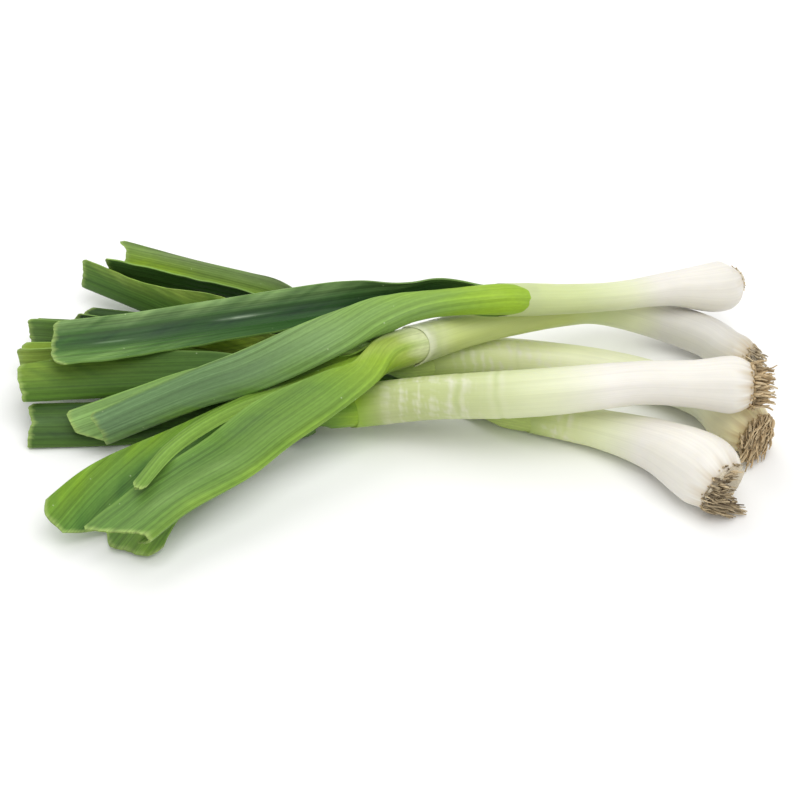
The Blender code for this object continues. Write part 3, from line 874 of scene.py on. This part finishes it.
def blade_faces(rings, n, pith):
    """Faces of a blade of rings, each n points over, one edge, n points back and one edge: its skin,
    its closed base, and its cut end, which dips to a row of n points that starts at pith."""
    ring = 2 * n + 2
    end = (rings - 1) * ring
    faces = tube_sides(rings, ring)
    for k in range(n - 1):
        faces.append((k, k + 1, ring - 3 - k, ring - 2 - k))
    faces += [(n - 1, n, n + 1), (0, ring - 2, ring - 1)]
    for k in range(n - 1):
        faces.append((end + k, end + k + 1, pith + k + 1, pith + k))
        faces.append((pith + k, pith + k + 1, end + ring - 3 - k, end + ring - 2 - k))
    faces += [(end + n - 1, end + n, pith + n - 1), (end + n, end + n + 1, pith + n - 1)]
    return faces + [(end, pith, end + ring - 1), (pith, end + ring - 2, end + ring - 1)]


def margin_points(upper, lower, side, before):
    """The points that round off one margin between the two faces, a little beyond it."""
    beyond = unit(upper[:, side] + lower[:, side] - upper[:, before] - lower[:, before])
    return (upper[:, side] + lower[:, side]) / 2 + EDGE_ROUNDING * beyond


def rings_round(upper, last, lower, first):
    """One row of points for each ring: over the upper face, round a margin, back and round the other."""
    rings = np.concatenate([upper, last[:, None], lower[:, ::-1], first[:, None]], axis=1)
    return list(rings.reshape(-1, rings.shape[-1]))


def grow_leaf(
    name, roll, trims, rows, outer, inner, wave, seed,
    skin=BRIGHT_SKIN, at_tip=False, set_back=8, marks=(), corner=2.5, spur=0.0,
):
    """A leaf blade from its base to its ragged cut end. Each row is x, y, z of the keel, the roll of its
    open side (0 up, 90 to the back), the half width of either side, the fold at the keel and the curl
    of the sides. Its margins start set_back after its keel, and trims shorten it at the cut, whose
    ends are rounded by corner; spur is a strip left standing there. outer and inner are the colours
    of its faces from base to end, and wave is how far its margins ripple. A mark is a patch of colour:
    its face (1 inner, -1 outer), place across and along, size across and along, colour, strength."""
    route = Route(base_rows(name.split("_leaf_")[0], roll, at_tip) + rows)
    count = max(30, round(route.length / BLADE_STEP))
    bow = np.linspace(-1, 1, BLADE_COLUMNS)
    across = np.sign(bow) * np.abs(bow) ** 1.25
    half_end = np.where(across > 0, rows[-1][5], rows[-1][4])
    trim = leaf_trim(across, half_end, trims, corner, spur, seed)
    start = set_back * across**2
    along = np.linspace(0, 1, count + 1)[:, None]
    distance = start + (route.length - trim - start) * along
    left = route.length - trim - distance
    share = distance / route.length
    row = route.at(distance)
    tangent = route.tangent(distance)
    up, side = upright_frame(tangent)
    turn = np.radians(row[..., 3])[..., None]
    opening = up * np.cos(turn) + side * np.sin(turn)
    sideways = np.cross(tangent, opening)
    grid = np.broadcast_to(across, distance.shape)
    half_width = np.where(grid > 0, row[..., 5], row[..., 4])
    developed = grid * half_width
    x, y = section_offset(half_width, row[..., 6], row[..., 7], grid)
    bend = section_bend(row[..., 6], row[..., 7], grid)

    free = np.clip((distance - CLASP_LENGTH - 6) / 40, 0, 1)
    side_shift = np.where(grid > 0, 2.1, 0.0)
    ruffle = wave * free * np.abs(grid) ** 2.5 * ripple(distance * RUFFLE_PACE + side_shift, seed + 5, 4)
    pleats = PLEAT_HEIGHT * np.sin(developed * PLEAT_PACE + ripple(distance * 0.02, seed + 6))
    ruffle = ruffle + pleats * np.clip(distance / 30, 0, 1)
    thickness = MARGIN_THICKNESS + (KEEL_THICKNESS - MARGIN_THICKNESS) * (1 - np.abs(grid)) ** 2
    rib = RIB_HEIGHT * np.exp(-((developed / RIB_WIDTH) ** 2)) * np.clip(distance / 25, 0, 1)
    crushed = 1 - CRUSH_SHARE * np.clip(1 - left / CRUSH_LENGTH, 0, 1)
    sheets, tints = {}, {}
    for sign, stops in ((-1, outer), (1, inner)):
        lift = sign * thickness / 2 * crushed + ruffle - (rib if sign < 0 else 0)
        dx = x - np.sin(bend) * lift
        dy = y + np.cos(bend) * lift
        sheets[sign] = row[..., :3] + sideways * dx[..., None] + opening * dy[..., None]
        tints[sign] = leaf_colours(sign, stops, marks, grid, half_width, distance, share, left, seed)

    upper, lower = sheets[1], sheets[-1]
    last, first = margin_points(upper, lower, -1, -3), margin_points(upper, lower, 0, 2)
    points = rings_round(upper, last, lower, first)
    colours = rings_round(tints[1], tints[1][:, -1], tints[-1], tints[1][:, 0])
    flat = np.stack([developed, distance], axis=-1)
    places = rings_round(flat, flat[:, -1], flat, flat[:, 0])
    faces = blade_faces(count + 1, BLADE_COLUMNS, len(points))
    dip = PITH_DEPTH + PITH_RAG * ripple(across * 31, seed + 14, 5)
    points += list((upper[-1] + lower[-1]) / 2 - tangent[-1] * dip[:, None])
    colours += [np.array(CUT_RIM) * 0.8] * BLADE_COLUMNS
    places = np.array(places + list(flat[-1]))
    points = np.clip(points, *in_millimetres(cad_box))
    veins = BASE_VEINS + (1 - BASE_VEINS) * np.clip(places[:, 1] / VEINED_BY, 0, 1)
    raise_mesh(
        f"{name}_blade", points, faces, colours, places,
        skin, name, sharp=50, vein_strengths=veins,
    )


grow_leaf(
    "leek_a_leaf_1", roll=130, set_back=12, trims=(16, 17, 17, 16, 1, 0),
    rows=[
        (19, 33, 69, 126, 13, 8, 10, 60), (-8, 23, 64, 112, 20, 12, 30, 34),
        (-30, 15, 53, 88, 24, 21, 50, 14), (-59, 4, 43, 62, 27, 24, 58, 8),
        (-88, -5, 35, 46, 28, 25, 62, 4), (-118, -10, 28, 34, 27, 26, 64, 4),
        (-172, -22, 11, 26, 27, 27, 64, 4), (-189, -27, 7, 26, 27, 27, 64, 4),
    ],
    outer=[
        (0, LIME), (0.1, LIME), (0.18, (0.25, 0.42, 0.04)), (0.3, (0.21, 0.36, 0.07)),
        (0.45, (0.21, 0.35, 0.11)), (0.7, (0.19, 0.32, 0.14)), (1, (0.19, 0.32, 0.15)),
    ],
    inner=[(0, LIME), (0.4, (0.2, 0.35, 0.07)), (1, (0.22, 0.37, 0.11))],
    skin=WAXY_SKIN, wave=0.4, seed=21,
    marks=[(-1, -0.08, 0.75, 0.22, 0.3, (0.18, 0.34, 0.04), 0.8)],
)
grow_leaf(
    "leek_a_leaf_2", roll=-50, set_back=12, trims=(4, 0, 0, 0, 2, 4),
    rows=[
        (26, 54, 63, -50, 13, 13, 20, 56), (0, 55, 56, -45, 15, 15, 36, 24),
        (-42, 53, 49, -16, 17, 19, 35, 6), (-121, 44, 42, -17, 16, 18, 26, 4),
        (-163, 32, 43, -18, 16, 18, 24, 4), (-208, 21, 45, -18, 16, 18, 24, 4),
    ],
    outer=[
        (0, YELLOW_GREEN), (0.1, FRESH), (0.25, DARK), (0.7, (0.04, 0.1, 0.03)),
        (1, (0.07, 0.16, 0.035)),
    ],
    inner=[
        (0, LIME), (0.1, MID), (0.2, (0.025, 0.085, 0.014)), (0.75, (0.022, 0.08, 0.012)),
        (1, (0.045, 0.14, 0.018)),
    ],
    skin=GLOSSY_SKIN, wave=0.4, seed=22,
    marks=[
        (1, 1.0, 0.7, 0.4, 0.5, (0.24, 0.38, 0.13), 0.95),
        (1, 0.25, 0.65, 0.28, 0.6, (0.012, 0.045, 0.014), 0.95),
        (1, -0.7, 1.0, 0.5, 0.25, (0.18, 0.32, 0.08), 0.95),
        # These two small pale marks are painted highlights: gloss streaks on the inner face.
        (1, 0.3, 0.6, 0.035, 0.045, (0.36, 0.46, 0.32), 0.8),
        (1, 0.1, 0.87, 0.03, 0.03, (0.3, 0.42, 0.26), 0.7),
    ],
)

# The second leek's leaves: a broad blade bent over like a tent, the open channel under it
# whose rim is thick and bright, and a narrow inner leaf that lies on the broad one.
# Their skin is a bright clear green with hardly any wax on it.

PALE = (0.55, 0.62, 0.27)

grow_leaf(
    "leek_b_leaf_1", roll=130, trims=(12, 22, 32, 32, 32, 32),
    rows=[
        (-14, -8, 47, 110, 20, 10, 50, 30), (-36, -31, 43, 78, 26, 14, 72, 6),
        (-63, -51, 35, 84, 32, 16, 66, 2), (-85, -73, 31, 94, 33, 18, 66, 2),
        (-116, -96, 28, 106, 33, 18, 70, 2), (-136, -117, 25, 108, 33, 18, 70, 2),
        (-158, -143, 23, 108, 33, 18, 70, 2),
    ],
    outer=[
        (0, (0.66, 0.7, 0.42)), (0.045, (0.6, 0.66, 0.34)), (0.085, (0.36, 0.46, 0.09)),
        (0.15, (0.27, 0.42, 0.03)), (0.3, (0.17, 0.31, 0.04)), (0.6, (0.11, 0.225, 0.03)),
        (1, (0.105, 0.215, 0.038)),
    ],
    inner=[(0, LIME), (1, (0.18, 0.32, 0.05))],
    wave=0.5, seed=23,
    marks=[
        (-1, 0.0, 0.55, 0.16, 0.5, (0.24, 0.4, 0.05), 0.9),
        (-1, -0.4, 0.7, 0.16, 0.2, (0.2, 0.33, 0.09), 0.7),
        (-1, -0.75, 0.6, 0.2, 0.3, (0.085, 0.18, 0.035), 0.75),
        (-1, 0.5, 0.7, 0.35, 0.4, (0.07, 0.16, 0.025), 0.8),
    ],
)
grow_leaf(
    "leek_b_leaf_2", roll=-50, trims=(12, 12, 11, 20, 1, 0),
    rows=[
        (-28, 17, 36, -44, 12, 10, 25, 36), (-50, 11, 31, -20, 15, 13, 28, 14),
        (-89, -8, 20, -15, 20, 13, 20, 22), (-120, -34, 10, -14, 23, 22, 10, 28),
        (-152, -72, 4, -14, 30, 36, 4, 30), (-171, -109, 3, -14, 38, 42, 4, 30),
    ],
    outer=[(0, PALE), (0.15, LIME), (1, FRESH)],
    inner=[(0, LIME), (0.3, (0.2, 0.36, 0.04)), (0.6, (0.13, 0.26, 0.04)), (1, (0.13, 0.26, 0.04))],
    wave=0.35, seed=24,
    marks=[
        (1, 0.95, 0.8, 0.3, 0.4, (0.2, 0.36, 0.025), 1.0),
        # This dark patch in the channel's valley is painted shadow, cast by the broad leaf bent over it.
        (1, 0.35, 0.8, 0.28, 0.4, (0.055, 0.15, 0.022), 1.0),
        (1, -0.1, 0.9, 0.15, 0.3, (0.14, 0.27, 0.045), 0.8),
        (1, -0.7, 1.0, 0.5, 0.2, (0.21, 0.37, 0.03), 0.9),
    ],
    corner=9.0,
)
grow_leaf(
    "leek_b_leaf_3", at_tip=True, roll=130, set_back=3, trims=(2, 1, 0, 0, 1, 2),
    rows=[
        (-42, 6, 40, 150, 6, 6, 20, 20), (-65, 0, 35, 165, 6, 6, 20, 15),
        (-99, -22, 36, 172, 6, 6, 10, 15), (-128, -57, 39, 175, 5, 5, 10, 15),
        (-146, -92, 38, 175, 4, 4, 10, 15),
    ],
    outer=[(0, LIME), (0.4, (0.22, 0.38, 0.05)), (1, (0.14, 0.26, 0.04))],
    inner=[(0, LIME), (1, FRESH)],
    wave=0.25, seed=25,
)

# The thick leek's leaves: two blades pressed flat along their keels, one on the other,
# and behind them a standing fold that shows its pale inner face, bruised along the top.

OLIVE = (0.33, 0.33, 0.06)

grow_leaf(
    "leek_c_leaf_1", roll=110, trims=(0, 2, 0, 0, 0, 3),
    rows=[
        (-56, -14, 13, 100, 11, 15, 36, 36), (-68, -12, 5, 92, 13, 18, 74, 6),
        (-89, -10, 4, 78, 25, 25, 78, 2), (-119, -10, 4, 74, 27, 27, 79, 2),
        (-174, -13, 2, 72, 27, 27, 79, 2), (-222, -15, 2, 72, 27, 27, 79, 2),
    ],
    outer=[
        (0, LIME), (0.08, (0.15, 0.28, 0.03)), (0.2, (0.07, 0.16, 0.022)), (0.5, (0.05, 0.115, 0.016)),
        (1, (0.058, 0.125, 0.018)),
    ],
    inner=[(0, LIME), (1, MID)],
    skin=GLOSSY_SKIN, wave=0.3, seed=26,
    marks=[
        (-1, -0.6, 0.85, 0.12, 0.5, (0.1, 0.19, 0.06), 0.7),
        (-1, -0.25, 0.7, 0.1, 0.5, (0.02, 0.055, 0.015), 0.6),
        (-1, -0.9, 0.85, 0.08, 0.5, (0.02, 0.06, 0.015), 0.6),
    ],
)
grow_leaf(
    "leek_c_leaf_2", at_tip=True, roll=90, set_back=3, trims=(0, 1, 3, 3, 0, 0),
    rows=[
        (-70, 9, 19, 75, 12, 10, 60, 6), (-90, 9, 22, 64, 22, 20, 76, 2),
        (-119, 8, 24, 62, 26, 26, 77, 2), (-179, 7, 22, 64, 27, 27, 77, 2),
        (-228, 3, 22, 64, 22, 27, 77, 2),
    ],
    outer=[
        (0, LIME), (0.2, FRESH), (0.4, (0.05, 0.125, 0.012)), (0.75, (0.055, 0.13, 0.012)),
        (1, (0.08, 0.17, 0.016)),
    ],
    inner=[(0, LIME), (1, MID)],
    wave=0.3, seed=27,
    marks=[(-1, -0.9, 1.0, 0.4, 0.3, (0.22, 0.34, 0.035), 0.9)],
)
grow_leaf(
    "leek_c_leaf_3", roll=-70, trims=(4, 5, 4, 4, 4, 4),
    rows=[
        (-64, 22, 6, -30, 13, 13, 56, 6), (-84, 38, 5, 20, 21, 13, 58, 4),
        (-119, 46, 5, 8, 29, 17, 68, 2), (-180, 49, 5, 8, 29, 20, 70, 2),
        (-238, 48, 5, 8, 30, 21, 70, 2),
    ],
    outer=[(0, YELLOW_GREEN), (0.2, LIME), (0.6, FRESH), (0.85, (0.26, 0.4, 0.05)), (1, (0.3, 0.42, 0.06))],
    inner=[(0, LIME), (0.5, (0.16, 0.26, 0.04)), (0.9, (0.28, 0.4, 0.06)), (1, (0.3, 0.42, 0.06))],
    wave=0.4, seed=28,
    marks=[(-1, -0.9, 0.5, 0.25, 0.12, OLIVE, 1.0), (1, -0.9, 0.5, 0.25, 0.12, OLIVE, 0.9)],
)

# The fourth leek's leaves lie behind the thick leek's, folded narrow, their keels down on the table.
# One is broad and mid green with a pale yellow-green patch half way, a yellowed spot made far brighter with
# painted light where it lies in shade; the other is narrow and dark.

grow_leaf(
    "leek_d_leaf_1", roll=90, trims=(0, 0, 0, 0, 0, 0),
    rows=[
        (-28, 47, 15, 80, 14, 7, 60, 6), (-50, 52, 11, 75, 14, 10, 68, 4),
        (-80, 58, 8, 50, 18, 13, 68, 4), (-120, 62, 5, 12, 23, 16, 70, 4),
        (-180, 74, 5, 12, 25, 17, 70, 4), (-232, 79, 5, 14, 25, 17, 68, 4),
    ],
    outer=[
        (0, YELLOW_GREEN), (0.15, FRESH), (0.4, (0.08, 0.17, 0.03)), (0.8, (0.1, 0.19, 0.04)),
        (1, (0.12, 0.22, 0.05)),
    ],
    inner=[(0, LIME), (0.3, MID), (1, (0.12, 0.22, 0.05))],
    wave=0.5, seed=29,
    # This yellowed patch is partly its own colour and partly painted light: it is made far brighter than a
    # dried leaf so it shows out of the shade it lies in.
    marks=[(-1, -0.5, 0.5, 1.0, 0.2, (0.74, 0.9, 0.18), 1.0)],
)
grow_leaf(
    "leek_d_leaf_2", roll=-90, trims=(4, 0, 6, 6, 2, 8),
    rows=[
        (-28, 70, 18, -50, 7, 10, 55, 6), (-50, 73, 14, -5, 12, 12, 65, 4),
        (-80, 78, 12, 0, 12, 12, 65, 4), (-120, 80, 7, 0, 14, 14, 68, 4),
        (-165, 89, 5, 10, 14, 14, 66, 4), (-208, 97, 5, 18, 14, 14, 66, 4),
    ],
    outer=[(0, YELLOW_GREEN), (0.15, FRESH), (0.4, DARK), (1, (0.035, 0.075, 0.022))],
    inner=[(0, LIME), (0.3, MID), (1, (0.05, 0.1, 0.03))],
    wave=0.5, seed=30,
)

# The fifth leek's leaves pass flat under the others and stand up again at the back left,
# with painted light on their inner faces, painted deep shade under them and rippled rims painted bright.

# The black green on the first leaf's outer face is painted deep shade.
SHADE_BLACK_GREEN = (0.014, 0.045, 0.012)
GREY_GREEN = (0.17, 0.23, 0.1)

grow_leaf(
    "leek_e_leaf_1", roll=-90, trims=(8, 10, 14, 14, 16, 15),
    rows=[
        (42, 38, 6, -84, 11, 8, 72, 8), (26, 52, 4, -88, 13, 13, 82, 2),
        (-20, 79, 4, -86, 14, 14, 82, 2), (-50, 97, 5, -30, 15, 15, 70, 2),
        (-80, 105, 9, 0, 18, 22, 66, 2), (-103, 111, 12, 12, 19, 22, 65, 0),
        (-139, 121, 15, 12, 20, 22, 65, -4), (-178, 130, 19, 12, 21, 24, 65, -6),
        (-197, 135, 21, 12, 22, 24, 65, -6),
    ],
    outer=[
        (0, YELLOW_GREEN), (0.12, YELLOW_GREEN), (0.3, MID), (0.5, SHADE_BLACK_GREEN),
        (0.8, (0.03, 0.085, 0.015)), (1, (0.07, 0.155, 0.03)),
    ],
    inner=[(0, YELLOW_GREEN), (0.4, FRESH), (0.7, (0.14, 0.24, 0.05)), (1, (0.2, 0.32, 0.06))],
    wave=0.5, seed=31,
    marks=[
        (1, 1.0, 0.75, 0.3, 0.4, GREY_GREEN, 1.0),
        # The bright band is painted light on the lit upper part of the inner face; the dark band by the keel
        # is painted shade deep in the channel.
        (1, 0.45, 0.9, 0.3, 0.25, (0.27, 0.42, 0.025), 1.0),
        (1, 0.05, 0.8, 0.2, 0.5, (0.02, 0.06, 0.012), 0.9),
    ],
    corner=1.5, spur=6.0,
)
grow_leaf(
    "leek_e_leaf_2", roll=90, trims=(0, 3, 2, 2, 4, 6),
    rows=[
        (42, 12, 5, 86, 10, 8, 74, 8), (26, 23, 4, 88, 13, 12, 82, 2),
        (-20, 48, 4, 88, 14, 12, 82, 2), (-63, 69, 4, 80, 19, 15, 78, 2),
        (-90, 79, 4, 60, 22, 18, 70, 2), (-127, 90, 4, 42, 31, 18, 64, 4),
        (-164, 108, 9, 38, 22, 18, 62, 4), (-208, 129, 15, 38, 21, 17, 62, 4),
    ],
    outer=[
        (0, YELLOW_GREEN), (0.12, YELLOW_GREEN), (0.3, MID), (0.6, (0.07, 0.165, 0.02)),
        (1, (0.085, 0.19, 0.03)),
    ],
    inner=[(0, YELLOW_GREEN), (0.3, LIME), (1, FRESH)],
    wave=0.6, seed=32,
    # The bright band along this rim, on both faces, is painted light where the rim catches it.
    marks=[(face, -1.0, 0.75, 0.3, 0.4, (0.28, 0.4, 0.07), 1.0) for face in (-1, 1)],
)
